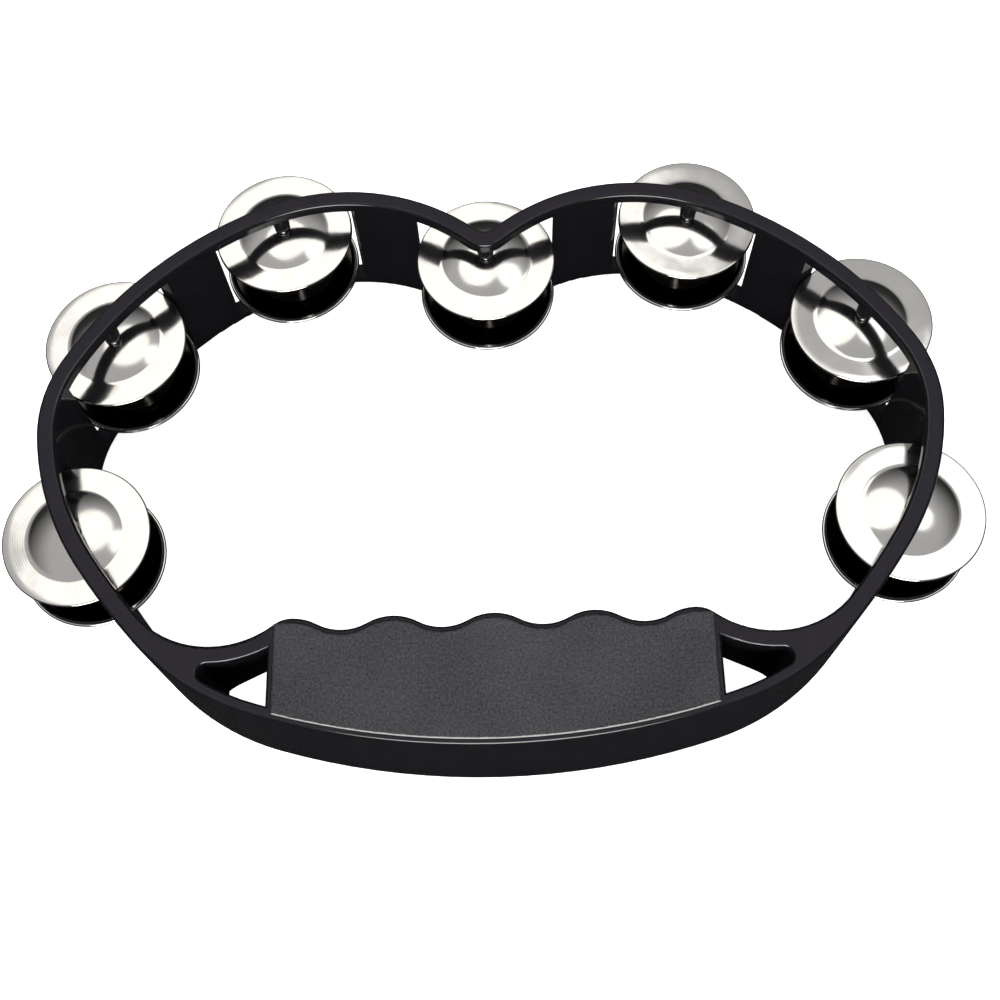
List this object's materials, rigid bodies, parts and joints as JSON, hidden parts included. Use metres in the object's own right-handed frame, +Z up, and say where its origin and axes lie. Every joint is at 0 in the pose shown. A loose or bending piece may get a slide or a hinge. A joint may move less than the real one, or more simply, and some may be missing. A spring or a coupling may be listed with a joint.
{
  "type": "tambourine",
  "caption": "Headless hand tambourine: heart-like moulded frame with a finger-grooved padded grip and slots of paired steel jingles that slide on pins.",
  "frame": {"origin": "middle of the instrument's bounding box, at the plane it lies on", "axes": "+X across the width, +Y from the grip to the notched far side, +Z up through the frame's height"},
  "size_m": [0.2766, 0.1844, 0.0454],
  "materials": {
    "frame_plastic": "glossy black moulded plastic",
    "grip_rubber": "leather-grained dark grey rubber",
    "jingle_steel": "polished nickel-plated steel",
    "pin_steel": "plain drawn steel"
  },
  "bodies": {
    "frame": {"frame": "frame_plastic", "grip_pad_top": "grip_rubber", "grip_pad_bottom": "grip_rubber"},
    "pin_1": {"jingle_pin_1": "pin_steel"},
    "lower_1": {"lower_jingle_1": "jingle_steel"},
    "upper_1": {"upper_jingle_1": "jingle_steel"},
    "pin_2": {"jingle_pin_2": "pin_steel"},
    "lower_2": {"lower_jingle_2": "jingle_steel"},
    "upper_2": {"upper_jingle_2": "jingle_steel"},
    "pin_3": {"jingle_pin_3": "pin_steel"},
    "lower_3": {"lower_jingle_3": "jingle_steel"},
    "upper_3": {"upper_jingle_3": "jingle_steel"},
    "pin_4": {"jingle_pin_4": "pin_steel"},
    "lower_4": {"lower_jingle_4": "jingle_steel"},
    "upper_4": {"upper_jingle_4": "jingle_steel"},
    "pin_5": {"jingle_pin_5": "pin_steel"},
    "lower_5": {"lower_jingle_5": "jingle_steel"},
    "upper_5": {"upper_jingle_5": "jingle_steel"},
    "pin_6": {"jingle_pin_6": "pin_steel"},
    "lower_6": {"lower_jingle_6": "jingle_steel"},
    "upper_6": {"upper_jingle_6": "jingle_steel"},
    "pin_7": {"jingle_pin_7": "pin_steel"},
    "lower_7": {"lower_jingle_7": "jingle_steel"},
    "upper_7": {"upper_jingle_7": "jingle_steel"}
  },
  "joints": [
    {"name": "pin_1_spin", "type": "hinge", "parent": "frame", "child": "pin_1", "pos_m": [-0.11727, -0.02686, 0], "axis": [0, 0, 1], "continuous": true},
    {"name": "lower_1_slide", "type": "slide", "parent": "pin_1", "child": "lower_1", "axis": [0, 0, 1], "range_m": [0, 0.0086]},
    {"name": "upper_1_slide", "type": "slide", "parent": "pin_1", "child": "upper_1", "axis": [0, 0, 1], "range_m": [-0.0086, 0]},
    {"name": "pin_2_spin", "type": "hinge", "parent": "frame", "child": "pin_2", "pos_m": [-0.11108, 0.03455, 0], "axis": [0, 0, 1], "continuous": true},
    {"name": "lower_2_slide", "type": "slide", "parent": "pin_2", "child": "lower_2", "axis": [0, 0, 1], "range_m": [0, 0.0086]},
    {"name": "upper_2_slide", "type": "slide", "parent": "pin_2", "child": "upper_2", "axis": [0, 0, 1], "range_m": [-0.0086, 0]},
    {"name": "pin_3_spin", "type": "hinge", "parent": "frame", "child": "pin_3", "pos_m": [-0.06198, 0.0712, 0], "axis": [0, 0, 1], "continuous": true},
    {"name": "lower_3_slide", "type": "slide", "parent": "pin_3", "child": "lower_3", "axis": [0, 0, 1], "range_m": [0, 0.0086]},
    {"name": "upper_3_slide", "type": "slide", "parent": "pin_3", "child": "upper_3", "axis": [0, 0, 1], "range_m": [-0.0086, 0]},
    {"name": "pin_4_spin", "type": "hinge", "parent": "frame", "child": "pin_4", "pos_m": [0, 0.0594, 0], "axis": [0, 0, 1], "continuous": true},
    {"name": "lower_4_slide", "type": "slide", "parent": "pin_4", "child": "lower_4", "axis": [0, 0, 1], "range_m": [0, 0.0086]},
    {"name": "upper_4_slide", "type": "slide", "parent": "pin_4", "child": "upper_4", "axis": [0, 0, 1], "range_m": [-0.0086, 0]},
    {"name": "pin_5_spin", "type": "hinge", "parent": "frame", "child": "pin_5", "pos_m": [0.06198, 0.0712, 0], "axis": [0, 0, 1], "continuous": true},
    {"name": "lower_5_slide", "type": "slide", "parent": "pin_5", "child": "lower_5", "axis": [0, 0, 1], "range_m": [0, 0.0086]},
    {"name": "upper_5_slide", "type": "slide", "parent": "pin_5", "child": "upper_5", "axis": [0, 0, 1], "range_m": [-0.0086, 0]},
    {"name": "pin_6_spin", "type": "hinge", "parent": "frame", "child": "pin_6", "pos_m": [0.11108, 0.03455, 0], "axis": [0, 0, 1], "continuous": true},
    {"name": "lower_6_slide", "type": "slide", "parent": "pin_6", "child": "lower_6", "axis": [0, 0, 1], "range_m": [0, 0.0086]},
    {"name": "upper_6_slide", "type": "slide", "parent": "pin_6", "child": "upper_6", "axis": [0, 0, 1], "range_m": [-0.0086, 0]},
    {"name": "pin_7_spin", "type": "hinge", "parent": "frame", "child": "pin_7", "pos_m": [0.11727, -0.02686, 0], "axis": [0, 0, 1], "continuous": true},
    {"name": "lower_7_slide", "type": "slide", "parent": "pin_7", "child": "lower_7", "axis": [0, 0, 1], "range_m": [0, 0.0086]},
    {"name": "upper_7_slide", "type": "slide", "parent": "pin_7", "child": "upper_7", "axis": [0, 0, 1], "range_m": [-0.0086, 0]}
  ]
}
